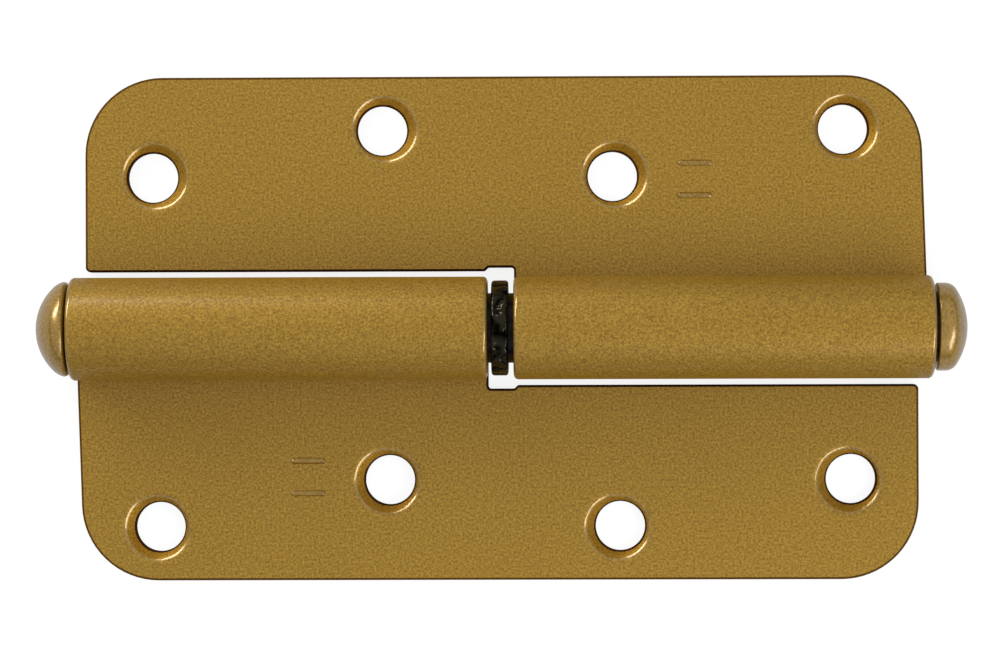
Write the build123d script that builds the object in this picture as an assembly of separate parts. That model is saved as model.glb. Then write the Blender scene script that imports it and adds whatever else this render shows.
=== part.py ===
from build123d import *
import math
import os

# Lift-off butt hinge, open and lying flat on its back.
# X runs along the pin, Y across the leaves and Z up from the mounting face.
# The origin is on the mounting face, under the pin axis, midway between the two knuckles.

# Driving dimensions in millimetres, with the one angle in degrees

# Leaf blank and rolled eye
sheet = 2.5  # steel that each leaf is pressed from
eye_dia = 10.8  # inside of the rolled eye
seam_gap = 0.3  # left between the end of the roll and the leaf's front face
knuckle_length = 64.1
knuckle_end_bevel = 0.6  # broken outer edge at a knuckle's two ends, in two flats
leaf_reach = 39.0  # pin axis to the leaf's outer edge
corner_radius = 12.0  # the two outer corners
free_end_inset = 1.6  # leaf's free end, back from the other leaf's knuckle end
end_lean = 1.3  # how far the knuckle's end of the leaf draws in by the outer edge
front_edge_break = 0.35  # broken edge all round the front face

# Slot that clears the other leaf's knuckle, with its relief notch by the ring
barrel_clearance = 0.94  # knuckle to the other leaf's cut edge
notch_depth = 0.55  # notch beyond the cut edge
notch_corner = 0.45
free_corner = 0.8  # small corner where the cut edge meets the free end

# Countersunk screw holes, in two staggered rows
screw_hole_dia = 7.6
sink_rim = 1.2  # width of the countersink around the hole
sink_angle = 90.0  # full angle of the countersink
sink_shift_x = 0.42  # the countersink sits a little off the hole
sink_shift_y = 0.18
holes_per_leaf = 4
outer_row_inset = 8.3  # outer row, in from the leaf's outer edge
row_stagger = 7.2  # between the two rows
first_hole_inset = 10.4  # from the free end
last_hole_inset = 13.1  # from the knuckle's end

# Spacer ring
ring_thickness = 2.6
ring_wall = 1.85
ring_clearance = 0.1  # radial, on the pin
ring_edge = 0.3  # chamfer on its outer edges
ring_gap_fixed = 0.6  # ring to the pin leaf's knuckle
ring_gap_lift = 0.8  # ring to the lift-off leaf's knuckle

# Pin, pressed into one knuckle and running free in the other
running_clearance = 0.05  # radial, in the lift-off leaf's eye
pin_tip_length = 3.0
pin_tip_taper = 1.2  # radius lost along the tip
pin_tip_gap = 2.0  # tip to the end plug
head_height = 5.0
head_shoulder = 3.2  # radius of the turn from the head's rim to its crown
head_inset = 0.53  # head's rim, in from the knuckle's surface
head_gap = 0.3  # head to the knuckle's end

# Domed plug that closes the lift-off leaf's eye
plug_shank = 6.0
plug_lead = 0.6  # chamfer that starts the plug in the eye
plug_gap = 0.55  # plug's rim to the knuckle's end
plug_inset = 1.16  # plug's rim, in from the knuckle's surface
plug_rim = 1.35
plug_height = 3.4  # dome above the rim
plug_shoulder = 2.0  # radius of the turn from the rim to the crown

# Sizes that follow
eye_radius = eye_dia / 2
barrel_radius = eye_radius + sheet
knuckle_gap = ring_gap_fixed + ring_thickness + ring_gap_lift
inner_end = knuckle_gap / 2
outer_end = inner_end + knuckle_length
free_end = outer_end - free_end_inset
cut_edge = barrel_radius + barrel_clearance
pin_radius = eye_radius - running_clearance
pin_axis = Axis((0, 0, barrel_radius), (1, 0, 0))


def leaf_plate():
    """The flat of a leaf, with rounded corners, the slot for the other knuckle and its notch."""
    notch_edge = cut_edge + notch_depth
    corners = [
        ((inner_end, 0), 0),
        ((outer_end, 0), 0),
        ((outer_end - end_lean, leaf_reach), corner_radius),
        ((-free_end, leaf_reach), corner_radius),
        ((-free_end, cut_edge), free_corner),
        ((-inner_end - notch_depth, cut_edge), notch_corner),
        ((-inner_end, notch_edge), notch_corner),
        ((inner_end, notch_edge), notch_corner),
    ]
    points = [point for point, radius in corners]
    radii = [radius for point, radius in corners]
    plate = extrude(make_face(FilletPolyline(*points, radius=radii, close=True)), sheet)
    front_edges = plate.faces().sort_by(Axis.Z)[-1].edges()
    joined_edge = front_edges.sort_by(Axis.Y)[0]
    return chamfer([edge for edge in front_edges if edge != joined_edge], front_edge_break)


def rolled_eye():
    """The sheet carried on from the flat: under the pin, up the far side and over to a radial end."""
    bevel = knuckle_end_bevel
    flat = bevel / 3
    half_strip = [
        (outer_end - bevel, 0),
        (outer_end - flat, flat),
        (outer_end, bevel),
        (outer_end, sheet),
    ]
    middle = (inner_end + outer_end) / 2
    mirrored = [(2 * middle - x, z) for x, z in reversed(half_strip)]
    strip = Plane.XZ * Polyline(*half_strip, *mirrored, close=True)
    end_angle = math.degrees(math.asin((eye_radius - seam_gap) / barrel_radius))
    roll_axis = Axis(pin_axis.position, -pin_axis.direction)
    return revolve(make_face(strip), roll_axis, 270 + end_angle)


def screw_hole():
    """One hole's cutter: a round hole through the sheet and its countersink, set off centre."""
    hole_radius = screw_hole_dia / 2
    slope = math.tan(math.radians(sink_angle / 2))
    shift = math.hypot(sink_shift_x, sink_shift_y)
    sink_radius = hole_radius + sink_rim
    sink_bottom = hole_radius - 2 * shift
    sink_depth = (sink_radius - sink_bottom) / slope
    hole = Cylinder(hole_radius, 4 * sheet)
    sink = Cone(sink_bottom, sink_radius, sink_depth, align=(Align.CENTER, Align.CENTER, Align.MAX))
    return hole + Pos(sink_shift_x, sink_shift_y, sheet) * sink


def leaf():
    """A leaf as pressed, rolled and drilled, with its plate on the +Y side and its knuckle at +X."""
    body = leaf_plate() + rolled_eye()
    pitch = (free_end + outer_end - first_hole_inset - last_hole_inset) / (holes_per_leaf - 1)
    outer_row = leaf_reach - outer_row_inset
    rows = [outer_row - row_stagger, outer_row]
    for count in range(holes_per_leaf):
        x = first_hole_inset - free_end + count * pitch
        body -= Pos(x, rows[count % 2], 0) * screw_hole()
    return body


def turned(outline):
    """A turned piece: its half outline, drawn with X along the pin and Y as the radius."""
    return Pos(pin_axis.position) * revolve(make_face(outline), Axis.X)


def dome(base, rim, height, shoulder):
    """Half outline of a dome from its rim to its tip: a shoulder arc that runs on into a wider crown.

    The height is negative for a dome that points along -X.
    """
    rise = abs(height)
    crown = (rise**2 + rim**2 - 2 * rim * shoulder) / (2 * (rise - shoulder))
    lean = math.atan2(rim - shoulder, crown - rise)
    way = math.copysign(1, height)
    meet = (base + way * (rise - crown + crown * math.cos(lean)), crown * math.sin(lean))
    over_shoulder = TangentArc((base, rim), meet, tangent=(way, 0))
    return over_shoulder + TangentArc(meet, (base + height, 0), tangent=over_shoulder % 1)


def pin():
    """Headed pin: a domed head, a shank pressed into the pin leaf's eye and a longer running end."""
    seat = -outer_end - head_gap
    head_radius = barrel_radius - head_inset
    tip = outer_end - plug_shank - pin_tip_gap
    stem = Polyline(
        (seat, head_radius),
        (seat, eye_radius),
        (-inner_end, eye_radius),
        (-inner_end, pin_radius),
        (tip - pin_tip_length, pin_radius),
        (tip, pin_radius - pin_tip_taper),
        (tip, 0),
        (seat - head_height, 0),
    )
    return turned(dome(seat, head_radius, -head_height, head_shoulder) + stem)


def spacer_ring():
    """Plain steel ring on the pin, between the two knuckles."""
    bore = pin_radius + ring_clearance
    rim = bore + ring_wall
    start = ring_gap_fixed - inner_end
    stop = start + ring_thickness
    return turned(
        Polyline(
            (start, bore),
            (stop, bore),
            (stop, rim - ring_edge),
            (stop - ring_edge, rim),
            (start + ring_edge, rim),
            (start, rim - ring_edge),
            close=True,
        )
    )


def end_plug():
    """Domed plug: a shank pressed into the end of the lift-off leaf's eye, under a low domed cap."""
    seat = outer_end + plug_gap
    rim_radius = barrel_radius - plug_inset
    rim_top = seat + plug_rim
    stem = Polyline(
        (rim_top, rim_radius),
        (seat, rim_radius),
        (seat, eye_radius),
        (outer_end - plug_shank + plug_lead, eye_radius),
        (outer_end - plug_shank, eye_radius - plug_lead),
        (outer_end - plug_shank, 0),
        (rim_top + plug_height, 0),
    )
    return turned(dome(rim_top, rim_radius, plug_height, plug_shoulder) + stem)


# The two leaves are the same pressing, one turned half round to face the other.
lift_off_leaf = leaf()
pieces = {
    "pin_leaf": Rot(0, 0, 180) * lift_off_leaf,
    "lift_off_leaf": lift_off_leaf,
    "pin": pin(),
    "spacer_ring": spacer_ring(),
    "end_plug": end_plug(),
}

os.makedirs("parts", exist_ok=True)
for node, shape in pieces.items():
    export_step(shape, f"parts/{node}.step")
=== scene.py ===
import math

import bmesh
import bpy
import numpy as np
from mathutils import Matrix, Vector


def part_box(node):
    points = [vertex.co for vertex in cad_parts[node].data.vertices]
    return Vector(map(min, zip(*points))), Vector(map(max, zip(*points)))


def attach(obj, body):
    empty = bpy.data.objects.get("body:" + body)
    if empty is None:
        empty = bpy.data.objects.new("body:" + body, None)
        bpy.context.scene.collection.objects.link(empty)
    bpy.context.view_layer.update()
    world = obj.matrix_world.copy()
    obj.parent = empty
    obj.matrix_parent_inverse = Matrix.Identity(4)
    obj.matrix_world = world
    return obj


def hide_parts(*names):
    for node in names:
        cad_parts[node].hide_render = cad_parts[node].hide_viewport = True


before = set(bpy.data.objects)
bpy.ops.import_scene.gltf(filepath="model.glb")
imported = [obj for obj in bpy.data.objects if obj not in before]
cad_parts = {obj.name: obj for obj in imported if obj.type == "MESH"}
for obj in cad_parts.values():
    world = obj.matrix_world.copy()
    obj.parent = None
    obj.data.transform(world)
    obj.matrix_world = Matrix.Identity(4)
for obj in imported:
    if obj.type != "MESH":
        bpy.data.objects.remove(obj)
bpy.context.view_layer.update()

# Leaves
# One steel pressing, used twice, the second turned half round: blanked, punched and countersunk from
# sheet, with its tongue rolled into a knuckle. Each is sprayed and baked after rolling, with its pin
# or plug in place.

mm = 0.001
sheet = 2.5 * mm
slot_along = 2.4 * mm  # the slot by the other knuckle lies inside these, from the hinge's middle
slot_across = 10.0 * mm
front_break = 0.4 * mm  # depth that holds the broken edge round the front
weld = 0.001 * mm  # corners closer than this are one corner

# Countersinks on the lift-off leaf; the other leaf has the same, turned half round
sink_places = np.array([(-54.1, 23.5), (-18.4, 30.7), (17.3, 23.5), (53.0, 30.7)]) * mm
sink_shift = np.array([0.42, 0.18]) * mm
sink_radius = 5.0 * mm
hole_radius = 3.8 * mm
coat_bead = 0.48 * mm  # easing of the coat over a countersink's rim
coat_flare = 0.75 * mm  # how far out from the rim it starts to fall
rolled_edge = 0.3 * mm  # width and depth of the turn from the cone into the hole
rolled_depth = 0.45 * mm
sink_reach = 1.3 * sink_radius  # all of a countersink lies this near to its hole's middle

# Upward part of a face's normal, which tells where in a countersink it lies
wall_up = 0.66  # below this, the hole's wall and its rolled edge
cone_up = 0.79  # below this, the cone
bead_up = 0.93  # below this, the glossy part of the bead

# Part of a normal across a broken edge, which lies between these
least_lean = 0.2
most_lean = 0.95

# Two plain stamped dashes on the front of each leaf, by the knuckle's inner end
dash_length = 5.4 * mm
dash_width = 1.0 * mm
dash_depth = 0.42 * mm
dash_gap = 5.0 * mm
dash_along = 30.0 * mm  # from the middle of the hinge
dash_across = 23.0 * mm  # from the pin axis


def merged_copy(node, piece):
    """A solid's loose triangles as one closed skin: corners joined and flat areas made single faces."""
    skin = bmesh.new()
    skin.from_mesh(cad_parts[node].data)
    bmesh.ops.remove_doubles(skin, verts=skin.verts, dist=weld)
    bmesh.ops.dissolve_limit(skin, angle_limit=math.radians(0.5), verts=skin.verts, edges=skin.edges)
    mesh = bpy.data.meshes.new(piece)
    skin.to_mesh(mesh)
    skin.free()
    return mesh


def grid_mesh(name, points, closed_rows):
    """A mesh over a grid of points, rows by columns: columns always close on themselves, rows if asked."""
    rows, columns = points.shape[:2]
    index = np.arange(rows * columns).reshape(rows, columns)
    below = np.roll(index, -1, axis=0) if closed_rows else index[1:]
    above = index if closed_rows else index[:-1]
    quads = np.stack([above, np.roll(above, -1, axis=1), np.roll(below, -1, axis=1), below], axis=-1)
    skin = bmesh.new()
    mesh = bpy.data.meshes.new(name)
    mesh.from_pydata(points.reshape(-1, 3).tolist(), [], quads.reshape(-1, 4).tolist())
    skin.from_mesh(mesh)
    bmesh.ops.remove_doubles(skin, verts=skin.verts, dist=weld)
    bmesh.ops.recalc_face_normals(skin, faces=skin.faces)
    skin.to_mesh(mesh)
    skin.free()
    return mesh


def dash_cutter(centre):
    """A lying capsule: a sphere swept along X, sunk so that only its lower cap cuts the face.

    A point at polar angle u and turn v is the sphere's own point, moved half the spine's length
    towards the end that it faces.
    """
    cap_radius = (dash_width**2 / 4 + dash_depth**2) / (2 * dash_depth)
    spine = dash_length - dash_width
    polar = np.linspace(0, np.pi, 24)
    turn = np.linspace(0, 2 * np.pi, 48, endpoint=False)
    u, v = np.meshgrid(polar, turn, indexing="ij")
    along = cap_radius * np.cos(u) + np.sign(np.cos(u)) * spine / 2
    across = cap_radius * np.sin(u) * np.cos(v)
    up = cap_radius * np.sin(u) * np.sin(v) + cap_radius - dash_depth
    return grid_mesh("dash_cutter", np.stack([along, across, up], axis=-1) + np.array(centre), False)


def linear(code):
    """An sRGB hex colour as linear red, green, blue and a full alpha."""
    parts = np.array([int(code[i : i + 2], 16) for i in (1, 3, 5)]) / 255
    return (*np.where(parts <= 0.04045, parts / 12.92, ((parts + 0.055) / 1.055) ** 2.4).tolist(), 1.0)


def add_node(tree, kind, settings, inputs):
    """Adds a node of that kind, gives it its settings, and sets or links its inputs."""
    made = tree.nodes.new(kind)
    for name, value in settings.items():
        setattr(made, name, value)
    for key, value in inputs.items():
        if isinstance(value, bpy.types.NodeSocket):
            tree.links.new(value, made.inputs[key])
        else:
            made.inputs[key].default_value = value
    return made


def bronze_enamel(name, colours, roughness, peel, finish):
    """Baked bronze enamel: bronze powder in a clear binder, satin and grainy, with a soft orange peel."""
    flake_size = 0.36 * mm  # about ten times the real powder, so that its grain shows
    cloud_size = 22 * mm  # slow drift in the sprayed coat
    peel_depth = 0.05 * mm
    gloss_spread = 0.05  # a flake is glossier than the binder by twice this
    flake_range = {"From Min": 0.25, "From Max": 0.75}
    material = bpy.data.materials.new(name)
    material.use_nodes = True
    tree = material.node_tree
    tree.nodes.clear()
    place = add_node(tree, "ShaderNodeTexCoord", {}, {}).outputs["Object"]
    flakes = add_node(
        tree,
        "ShaderNodeTexNoise",
        {},
        {"Vector": place, "Scale": 1 / flake_size, "Detail": 2.0, "Roughness": 0.6},
    ).outputs["Fac"]
    clouds = add_node(
        tree,
        "ShaderNodeTexNoise",
        {},
        {"Vector": place, "Scale": 1 / cloud_size, "Detail": 3.0, "Roughness": 0.5},
    ).outputs["Fac"]
    grain = add_node(
        tree,
        "ShaderNodeMapRange",
        {},
        {"Value": flakes, "To Min": 0.0, "To Max": 1.0, **flake_range},
    ).outputs["Result"]
    powder = add_node(
        tree,
        "ShaderNodeMix",
        {"data_type": "RGBA"},
        {0: grain, 6: linear(colours[0]), 7: linear(colours[1])},
    ).outputs[2]
    tint = add_node(
        tree,
        "ShaderNodeMix",
        {"data_type": "RGBA", "blend_type": "MULTIPLY"},
        {0: clouds, 6: powder, 7: linear("#F6F3EA")},
    ).outputs[2]
    gloss = add_node(
        tree,
        "ShaderNodeMapRange",
        {},
        {
            "Value": flakes,
            "To Min": roughness + gloss_spread,
            "To Max": roughness - gloss_spread,
            **flake_range,
        },
    ).outputs["Result"]
    bump = add_node(
        tree, "ShaderNodeBump", {}, {"Height": flakes, "Strength": peel, "Distance": peel_depth}
    ).outputs["Normal"]
    surface = add_node(
        tree,
        "ShaderNodeBsdfPrincipled",
        {},
        {"Base Color": tint, "Roughness": gloss, "Normal": bump, **finish},
    )
    add_node(tree, "ShaderNodeOutputMaterial", {}, {"Surface": surface.outputs["BSDF"]})
    return material


def finish_skin(piece):
    """Smooth faces but for square corners, with normals that keep flats flat beside broken edges."""
    square = math.radians(60)  # corners sharper than this stay crisp
    piece.data.polygons.foreach_set("use_smooth", [True] * len(piece.data.polygons))
    piece.data.set_sharp_from_angle(angle=square)
    weighted = piece.modifiers.new("flats", "WEIGHTED_NORMAL")
    weighted.keep_sharp = True


def sink_cutter(place, side):
    """The room in a coated countersink: the hole's wall, its rolled edge, the cone and its beaded rim.

    Points lie on straight lines from the hole's circle to the rim's. The cone falls inwards at 45
    degrees, eased at the rim by a hyperbola, and at the hole it falls away on a quarter ellipse.
    """
    clear = 0.02 * mm  # takes off the solid's own plain countersink
    beyond = 1.0 * mm  # past the leaf's two faces
    overrun = 1.1  # the bead runs on past its flare by this, to come out through the front face
    turn = np.linspace(0, 2 * np.pi, 96, endpoint=False)
    way = np.stack([np.cos(turn), np.sin(turn)], axis=-1)
    inner = place + (hole_radius + clear) * way
    outer = place + sink_shift + (sink_radius + coat_flare) * way
    reach = np.linalg.norm(outer - inner, axis=-1)
    near = rolled_edge * (1 - np.cos(np.linspace(0, np.pi / 2, 8)))[:, None] / reach
    far = near[-1] + np.linspace(0, 1, 25)[1:, None] * (overrun - near[-1])
    share = np.concatenate([near, far])
    spot = inner + share[..., None] * (outer - inner)
    lip = (np.hypot(coat_flare, coat_bead) - coat_flare) / 2
    inside = sink_radius + clear + lip - np.linalg.norm(spot - place - sink_shift, axis=-1)
    cone = (inside + np.hypot(inside, coat_bead)) / 2
    past_edge = np.clip(share * reach / rolled_edge, 0, 1)
    fall = rolled_depth * (1 - np.sqrt(1 - (1 - past_edge) ** 2))
    middle = np.broadcast_to(place, inner.shape)[None]
    flat = side * np.concatenate([middle, inner[None], spot, spot[-1:], middle])
    level = np.ones((1, len(turn)))
    below = np.repeat(-beyond * level, 2, axis=0)
    above = np.repeat((sheet + beyond) * level, 2, axis=0)
    up = np.concatenate([below, sheet - cone + lip - fall, above])
    return grid_mesh("sink_cutter", np.concatenate([flat, up[..., None]], axis=-1), False)


def bake(piece):
    """Makes a piece's modifiers part of its mesh."""
    shaped = bpy.data.meshes.new_from_object(piece.evaluated_get(bpy.context.evaluated_depsgraph_get()))
    piece.modifiers.clear()
    piece.data = shaped


def cut(piece, rooms):
    """Cuts closed meshes out of a piece; a cut face keeps the material number that it has there."""
    tools = []
    for room in rooms:
        tool = bpy.data.objects.new(room.name, room)
        bpy.context.scene.collection.objects.link(tool)
        cutting = piece.modifiers.new(room.name, "BOOLEAN")
        cutting.object = tool
        cutting.solver = "EXACT"
        tools.append(tool)
    bake(piece)
    for tool in tools:
        bpy.data.objects.remove(tool)


def sort_faces(mesh, side):
    """Numbers the coat on each face, in the order of leaf_coats, by its lean and place.

    It beads on the countersinks' rims and the knuckles' ends. In the holes and on the cut edge beside the
    other knuckle it is drawn near black as painted shade, and along the front's edges darker as painted
    shade.
    In the countersinks it runs together and is deeper.
    """
    normals = np.empty(3 * len(mesh.polygons))
    mesh.polygons.foreach_get("normal", normals)
    along, _, up = np.abs(normals.reshape(-1, 3)).T
    centres = np.empty(3 * len(mesh.polygons))
    mesh.polygons.foreach_get("center", centres)
    x, y, z = (centres.reshape(-1, 3) * (side, side, 1)).T
    from_hole = np.linalg.norm(np.stack([x, y], axis=-1)[:, None] - sink_places, axis=-1).min(axis=1)
    hole = (up < wall_up) & (from_hole < sink_radius)
    slot = (up < most_lean) & (z < sheet) & (x < slot_along) & (y < slot_across) & (y > 0)
    rim = (up > cone_up) & (up < bead_up) & (from_hole < sink_reach)
    sink = (up < cone_up) & (from_hole < sink_reach)
    end = (along > least_lean) & (along < most_lean) & (z > sheet)
    front = (z < sheet) & (z > sheet - front_break) & (from_hole > sink_reach)
    # painted shade: the front's broken edges get the darker coat
    shaded_brink_mask = (up > least_lean) & (up < most_lean) & front
    # coats 2 and 3 are painted shade: near black in the holes and the slot, darker along the front's edges
    coats = np.select([hole | slot, rim | end, shaded_brink_mask, sink], [2, 1, 3, 4], 0)
    mesh.polygons.foreach_set("material_index", coats)


def coated_leaf(node, body, side):
    """A leaf's skin with its countersinks and dashes cut in; side is +1 or -1 for its turn."""
    piece = bpy.data.objects.new(node + "_coated", merged_copy(node, node + "_skin"))
    bpy.context.scene.collection.objects.link(piece)
    for coat in leaf_coats:
        piece.data.materials.append(coat)
    cut(piece, [sink_cutter(place, side) for place in sink_places])
    sort_faces(piece.data, side)
    steps = dash_across + dash_gap * np.array([-0.5, 0.5])  # one dash each side of the middle
    dashes = [dash_cutter((side * dash_along, side * step, sheet)) for step in steps]
    for dash in dashes:
        dash.polygons.foreach_set("material_index", [1] * len(dash.polygons))
    cut(piece, dashes)
    finish_skin(piece)
    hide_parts(node)
    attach(piece, body)


# Each coat's two colours are the binder between the flakes and the flakes themselves
bronze = ("#7F5C0B", "#C49D3A")
painted_shade_bronze = ("#331A07", "#472A0D")  # painted shade: near black, standing in for the shade in the holes and on the cut edge beside the other knuckle
painted_edge_shade_bronze = ("#4E3308", "#6B4810")  # painted shade: darker, standing in for the shade along the front's broken edges
deep_bronze = ("#885F0C", "#C39534")  # run together, so warmer

# How the binder takes the light: half veiled on flats, wet on beads, soft in pools, and dull with no sheen
# under the painted shade
satin = {"Metallic": 0.52, "Specular IOR Level": 0.25, "Coat Weight": 0.5, "Coat Roughness": 0.3}
glossy = {"Metallic": 0.45, "Coat Weight": 1.0, "Coat Roughness": 0.14, "Coat IOR": 1.6}
pooled = {"Metallic": 0.52, "Specular IOR Level": 0.2}
painted_shade_dull = {"Metallic": 0.0, "Specular IOR Level": 0.05}
leaf_coats = [
    bronze_enamel("baked_bronze_enamel", bronze, 0.60, 0.2, satin),
    bronze_enamel("bronze_enamel_in_beads", bronze, 0.28, 0.03, glossy),
    # the next two coats are painted shade, darker than the bronze where shade falls
    bronze_enamel("painted_shade_in_holes_and_slot", painted_shade_bronze, 0.9, 0.3, painted_shade_dull),
    bronze_enamel("painted_shade_on_front_edges", painted_edge_shade_bronze, 0.7, 0.2, painted_shade_dull),
    bronze_enamel("deep_enamel_in_countersinks", deep_bronze, 0.5, 0.1, pooled),
]
coated_leaf("pin_leaf", "pin_half", -1)
coated_leaf("lift_off_leaf", "lift_off_half", 1)

# Pin
# Turned steel, pressed into the pin leaf's eye, with a domed head that is coated with that leaf. The
# rest of its shank runs in the ring and the other knuckle, bare and oiled, drawn near black as painted
# shade.

pin_low, pin_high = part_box("pin")
axis_height = (pin_low.z + pin_high.z) / 2
head_radius = (pin_high.z - pin_low.z) / 2
knuckle_end = -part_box("pin_leaf")[0].x
head_gap = 0.3 * mm
head_seat = -knuckle_end - head_gap
head_shoulder = 3.2 * mm
head_edge = 0.65 * mm  # rounding where the head meets its seat
shank_radius = 5.35 * mm
tip_taper = 1.2 * mm
tip_length = 3.0 * mm
taper_edge = 1.0 * mm  # roundings at the tip's two turns
tip_edge = 0.3 * mm


def dome(base, rim, height, shoulder, steps=24):
    """Half outline of a dome from its rim to its tip, as rows of place along the pin and radius.

    A shoulder arc leaves the rim along the pin and runs on, at one shared tangent, into a wider
    crown arc that meets the axis square. The height is negative for a dome that points along -X.
    """
    rise = abs(height)
    way = math.copysign(1, height)
    crown = (rise**2 + rim**2 - 2 * rim * shoulder) / (2 * (rise - shoulder))
    lean = math.atan2(rim - shoulder, crown - rise)
    turn = np.linspace(np.pi / 2, lean, steps)
    over = np.stack([base + way * shoulder * np.cos(turn), rim - shoulder + shoulder * np.sin(turn)], axis=1)
    turn = np.linspace(lean, 0, steps)[1:]
    top = np.stack([base + way * (rise - crown + crown * np.cos(turn)), crown * np.sin(turn)], axis=1)
    return np.concatenate([over, top])


def rounded(corners, steps=6):
    """An outline through corners of place, radius and rounding, with each corner swept by an arc.

    The arc touches both sides at the rounding divided by the tangent of half the corner's angle.
    """
    corners = np.array(corners)
    rows = [corners[:1, :2]]
    for before, corner, after in zip(corners, corners[1:], corners[2:]):
        inward = before[:2] - corner[:2]
        outward = after[:2] - corner[:2]
        inward = inward / np.linalg.norm(inward)
        outward = outward / np.linalg.norm(outward)
        half = math.acos(np.clip(inward @ outward, -1, 1)) / 2
        if corner[2] == 0:
            rows.append(corner[None, :2])
            continue
        middle = inward + outward
        centre = corner[:2] + middle / np.linalg.norm(middle) * corner[2] / math.sin(half)
        start = corner[:2] + inward * corner[2] / math.tan(half) - centre
        stop = corner[:2] + outward * corner[2] / math.tan(half) - centre
        share = np.linspace(0, 1, steps)[:, None]
        sweep = math.pi - 2 * half
        arc = np.sin((1 - share) * sweep) * start + np.sin(share * sweep) * stop
        rows.append(centre + arc / math.sin(sweep))
    rows.append(corners[-1:, :2])
    return np.concatenate(rows)


def turned(name, outline, closed):
    """A turned piece: its half outline carried round the pin axis."""
    turn = np.linspace(0, 2 * np.pi, 144, endpoint=False)
    along = np.repeat(outline[:, :1], len(turn), axis=1)
    across = outline[:, 1:] * np.cos(turn)
    up = axis_height + outline[:, 1:] * np.sin(turn)
    piece = bpy.data.objects.new(name, grid_mesh(name, np.stack([along, across, up], axis=-1), closed))
    bpy.context.scene.collection.objects.link(piece)
    finish_skin(piece)
    return piece


def oiled_steel(name, colours, roughness, lumps):
    """Bare turned steel under a film of oil: dark, with fine turning rings and lumps of oil."""
    ring_pitch = 1.57 * mm  # turning rings, far coarser than the real feed, so that they show
    ring_depth = 0.01 * mm
    wave_turn = 20  # radians that the wave texture goes through in a unit, at a scale of 1
    smear_size = 1.6 * mm
    material = bpy.data.materials.new(name)
    material.use_nodes = True
    tree = material.node_tree
    tree.nodes.clear()
    place = add_node(tree, "ShaderNodeTexCoord", {}, {}).outputs["Object"]
    rings = add_node(
        tree,
        "ShaderNodeTexWave",
        {"wave_type": "BANDS", "bands_direction": "X"},
        {"Vector": place, "Scale": 2 * math.pi / (wave_turn * ring_pitch), "Distortion": 1.0, "Detail": 2.0},
    ).outputs["Fac"]
    smears = add_node(
        tree,
        "ShaderNodeTexNoise",
        {},
        {"Vector": place, "Scale": 1 / smear_size, "Detail": 0.5, "Distortion": 0.4},
    ).outputs["Fac"]
    film = add_node(
        tree,
        "ShaderNodeMapRange",
        {},
        {"Value": smears, "From Min": 0.4, "From Max": 0.62, "To Min": 0.0, "To Max": 1.0},
    ).outputs["Result"]
    tone = add_node(
        tree,
        "ShaderNodeMix",
        {"data_type": "RGBA"},
        {0: film, 6: linear(colours[0]), 7: linear(colours[1])},
    ).outputs[2]
    gloss = add_node(
        tree,
        "ShaderNodeMapRange",
        {},
        {
            "Value": smears,
            "From Min": 0.3,
            "From Max": 0.7,
            "To Min": roughness - 0.06,
            "To Max": roughness + 0.12,
        },
    ).outputs["Result"]
    turning = add_node(
        tree, "ShaderNodeBump", {}, {"Height": rings, "Strength": 0.15, "Distance": ring_depth}
    ).outputs["Normal"]
    bump = add_node(
        tree, "ShaderNodeBump", {}, {"Height": smears, "Strength": 1.0, "Distance": lumps, "Normal": turning}
    ).outputs["Normal"]
    surface = add_node(
        tree,
        "ShaderNodeBsdfPrincipled",
        {},
        {"Base Color": tone, "Metallic": 1.0, "Roughness": gloss, "Normal": bump},
    )
    add_node(tree, "ShaderNodeOutputMaterial", {}, {"Surface": surface.outputs["BSDF"]})
    return material


head = dome(head_seat, head_radius, pin_low.x - head_seat, head_shoulder)
head = head[head[:, 0] < head_seat - head_edge]
stem = rounded(
    [
        (head[0, 0], head[0, 1], 0),
        (head_seat, head[0, 1], head_edge),
        (head_seat, shank_radius, 0),
        (pin_high.x - tip_length, shank_radius, taper_edge),
        (pin_high.x, shank_radius - tip_taper, tip_edge),
        (pin_high.x, 0, 0),
    ]
)
pin = turned("pin_turned", np.concatenate([head[::-1], stem[1:]]), False)
cap_coat = bronze_enamel("bronze_enamel_on_caps", bronze, 0.34, 0.03, glossy)
# painted shade: the shank's steel is drawn near black so that the narrow gaps beside the ring look shaded
pin_steel_dark_for_gap_shade = oiled_steel("oiled_steel_darkened_as_gap_shade", ("#1E1C1A", "#302D2A"), 0.28, 0.02 * mm)


def coat_cap(piece, seat, way):
    """The coat on a cap's own side of its seat, and oiled steel on the shank; way is the cap's side."""
    under = 0.05 * mm  # past the seat's face, on the shank
    piece.data.materials.append(cap_coat)
    piece.data.materials.append(pin_steel_dark_for_gap_shade)
    centres = np.empty(3 * len(piece.data.polygons))
    piece.data.polygons.foreach_get("center", centres)
    on_shank = way * (centres[::3] - seat) < -under
    piece.data.polygons.foreach_set("material_index", on_shank.astype(int))


coat_cap(pin, head_seat, -1)
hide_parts("pin")
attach(pin, "pin_half")

# Spacer ring
# A plain ring of blackened steel that keeps the two knuckles apart. It runs in oil, so it is nearly
# black and wet, and light catches only on its two broken edges.

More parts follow.
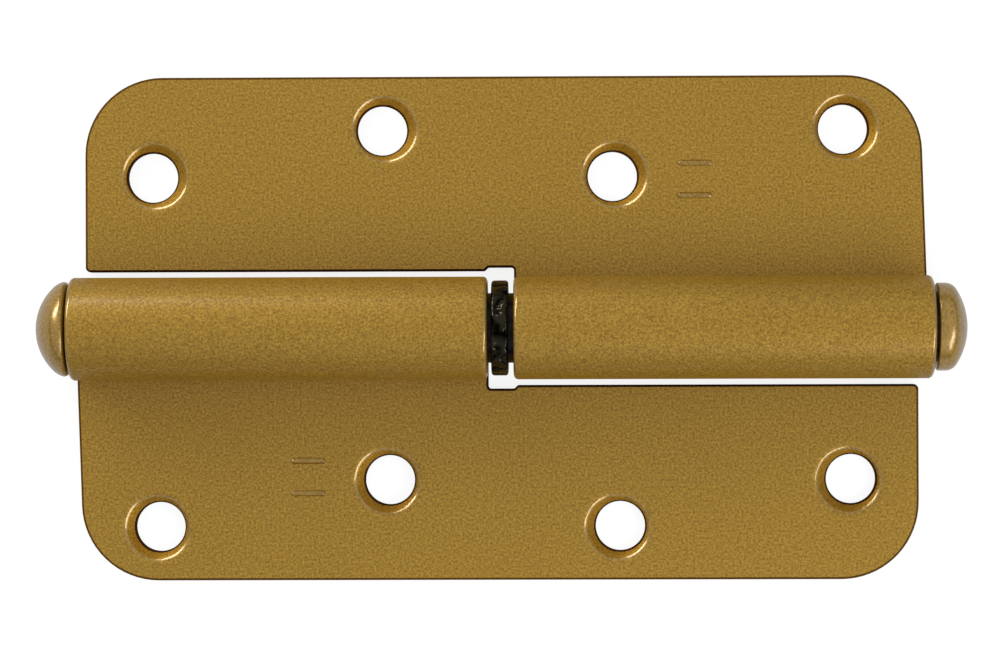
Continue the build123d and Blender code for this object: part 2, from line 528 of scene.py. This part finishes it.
ring_low, ring_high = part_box("spacer_ring")
ring_radius = (ring_high.z - ring_low.z) / 2
ring_bore = 5.45 * mm
ring_edge = 0.45 * mm  # roundings of its outer and inner edges
bore_edge = 0.1 * mm
ring_outline = rounded(
    [
        (ring_low.x, (ring_bore + ring_radius) / 2, 0),
        (ring_low.x, ring_radius, ring_edge),
        (ring_high.x, ring_radius, ring_edge),
        (ring_high.x, ring_bore, bore_edge),
        (ring_low.x, ring_bore, bore_edge),
        (ring_low.x, (ring_bore + ring_radius) / 2, 0),
    ]
)[:-1]
ring = turned("spacer_ring_turned", ring_outline, True)
ring.data.materials.append(oiled_steel("oiled_black_steel", ("#080705", "#38342A"), 0.10, 1.0 * mm))
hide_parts("spacer_ring")
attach(ring, "ring")

# End plug
# A turned plug pressed into the open end of the lift-off leaf's eye. Only its low dome shows, and it
# is coated with the leaf.

plug_low, plug_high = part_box("end_plug")
plug_radius = (plug_high.z - plug_low.z) / 2
plug_gap = 0.55 * mm
plug_seat = knuckle_end + plug_gap
plug_rim = 1.35 * mm
plug_shoulder = 2.0 * mm
plug_shank_radius = 5.4 * mm
plug_lead = 0.6 * mm
plug_edge = 0.25 * mm
plug_stem = rounded(
    [
        (plug_low.x, 0, 0),
        (plug_low.x, plug_shank_radius - plug_lead, 0),
        (plug_low.x + plug_lead, plug_shank_radius, 0),
        (plug_seat, plug_shank_radius, 0),
        (plug_seat, plug_radius, plug_edge),
        (plug_seat + plug_rim, plug_radius, 0),
    ]
)
plug_crown = dome(plug_seat + plug_rim, plug_radius, plug_high.x - plug_seat - plug_rim, plug_shoulder)
plug = turned("end_plug_turned", np.concatenate([plug_stem[:-1], plug_crown]), False)
coat_cap(plug, plug_seat, 1)
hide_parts("end_plug")
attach(plug, "lift_off_half")

# Studio
# A white floor and backdrop, a plain ceiling that is dim near the horizon, and two wide soft boxes: a
# low one on the left behind the hinge and a higher one on the right in front.

floor_size = 6.0
floor_z = -0.02 * mm  # just clear of the leaves' backs
floor_glow = 0.86  # with the light that falls on it, the floor is white to the camera
mirrored_glow = 0.4  # share of that glow that shows in the coat and the steel
floor_mesh = bpy.data.meshes.new("floor")
half = floor_size / 2
floor_mesh.from_pydata(
    [(-half, -half, floor_z), (half, -half, floor_z), (half, half, floor_z), (-half, half, floor_z)],
    [],
    [(0, 1, 2, 3)],
)
floor = bpy.data.objects.new("floor", floor_mesh)
bpy.context.scene.collection.objects.link(floor)
floor_paint = bpy.data.materials.new("white_floor")
floor_paint.use_nodes = True
tree = floor_paint.node_tree
tree.nodes.clear()
path = add_node(tree, "ShaderNodeLightPath", {}, {})
mirrored = add_node(
    tree, "ShaderNodeMath", {"operation": "MULTIPLY"}, {0: path.outputs["Is Glossy Ray"], 1: mirrored_glow}
).outputs[0]
seen = add_node(
    tree, "ShaderNodeMath", {"operation": "MAXIMUM"}, {0: path.outputs["Is Camera Ray"], 1: mirrored}
).outputs[0]
glow = add_node(tree, "ShaderNodeMath", {"operation": "MULTIPLY"}, {0: seen, 1: floor_glow}).outputs[0]
paint = add_node(tree, "ShaderNodeBsdfDiffuse", {}, {"Color": linear("#808080")}).outputs[0]
white = add_node(tree, "ShaderNodeEmission", {}, {"Color": linear("#FFFFFF"), "Strength": glow}).outputs[0]
both = add_node(tree, "ShaderNodeAddShader", {}, {0: paint, 1: white}).outputs[0]
add_node(tree, "ShaderNodeOutputMaterial", {}, {"Surface": both})
floor_mesh.materials.append(floor_paint)

# The room's light by height: the sine of the angle above the horizon, and the level there
wall_light = {"From Min": 0.12, "To Min": 0.10}
ceiling_light = {"From Max": 0.34, "To Max": 0.60}
world = bpy.data.worlds.new("studio")
bpy.context.scene.world = world
world.use_nodes = True
tree = world.node_tree
tree.nodes.clear()
direction = add_node(tree, "ShaderNodeTexCoord", {}, {}).outputs["Generated"]
height = add_node(tree, "ShaderNodeSeparateXYZ", {}, {"Vector": direction}).outputs["Z"]
room = add_node(
    tree,
    "ShaderNodeMapRange",
    {"interpolation_type": "SMOOTHSTEP"},
    {"Value": height, **wall_light, **ceiling_light},
).outputs["Result"]
path = add_node(tree, "ShaderNodeLightPath", {}, {})
level = add_node(
    tree, "ShaderNodeMath", {"operation": "MAXIMUM"}, {0: room, 1: path.outputs["Is Camera Ray"]}
).outputs[0]
sky = add_node(tree, "ShaderNodeBackground", {}, {"Color": linear("#FFFFFF"), "Strength": level}).outputs[0]
add_node(tree, "ShaderNodeOutputWorld", {}, {"Surface": sky})


def strip_box(name, place, width, height, watts):
    """A wide, low soft box that faces the middle of the hinge."""
    lamp = bpy.data.lights.new(name, "AREA")
    lamp.shape = "RECTANGLE"
    lamp.size = width
    lamp.size_y = height
    lamp.energy = watts
    box = bpy.data.objects.new(name, lamp)
    box.location = place
    box.rotation_euler = (-Vector(place)).to_track_quat("-Z", "Y").to_euler()
    bpy.context.scene.collection.objects.link(box)


strip_box("left_strip_box", (-0.27, 0.305, 0.19), 0.42, 0.10, 1.16)
strip_box("right_strip_box", (0.262, -0.205, 0.255), 0.36, 0.13, 0.68)

# The camera hangs over the hinge, a hair off square; the lens is given in the picture's own pixels
scene = bpy.context.scene
scene.view_settings.view_transform = "Standard"
camera_distance = 546.9 * mm
camera_yaw = math.radians(-0.954)
camera_pitch = math.radians(-0.117)
camera_roll = math.radians(0.17)
camera_aim = (0.100 * mm, 1.159 * mm)
lens_pixels = 3565.8
frame_pixels = 1000
sensor = 36.0
camera_data = bpy.data.cameras.new("camera")
camera_data.sensor_width = sensor
camera_data.lens = lens_pixels * sensor / frame_pixels
camera_data.clip_start = 10 * mm
camera = bpy.data.objects.new("camera", camera_data)
view = (
    Matrix.Rotation(-camera_yaw, 3, "Y")
    @ Matrix.Rotation(-camera_pitch, 3, "X")
    @ Matrix.Rotation(-camera_roll, 3, "Z")
)
place = view @ Vector((-camera_aim[0], -camera_aim[1], camera_distance)) + Vector((0, 0, axis_height))
camera.matrix_world = Matrix.Translation(place) @ view.to_4x4()
scene.collection.objects.link(camera)
scene.camera = camera
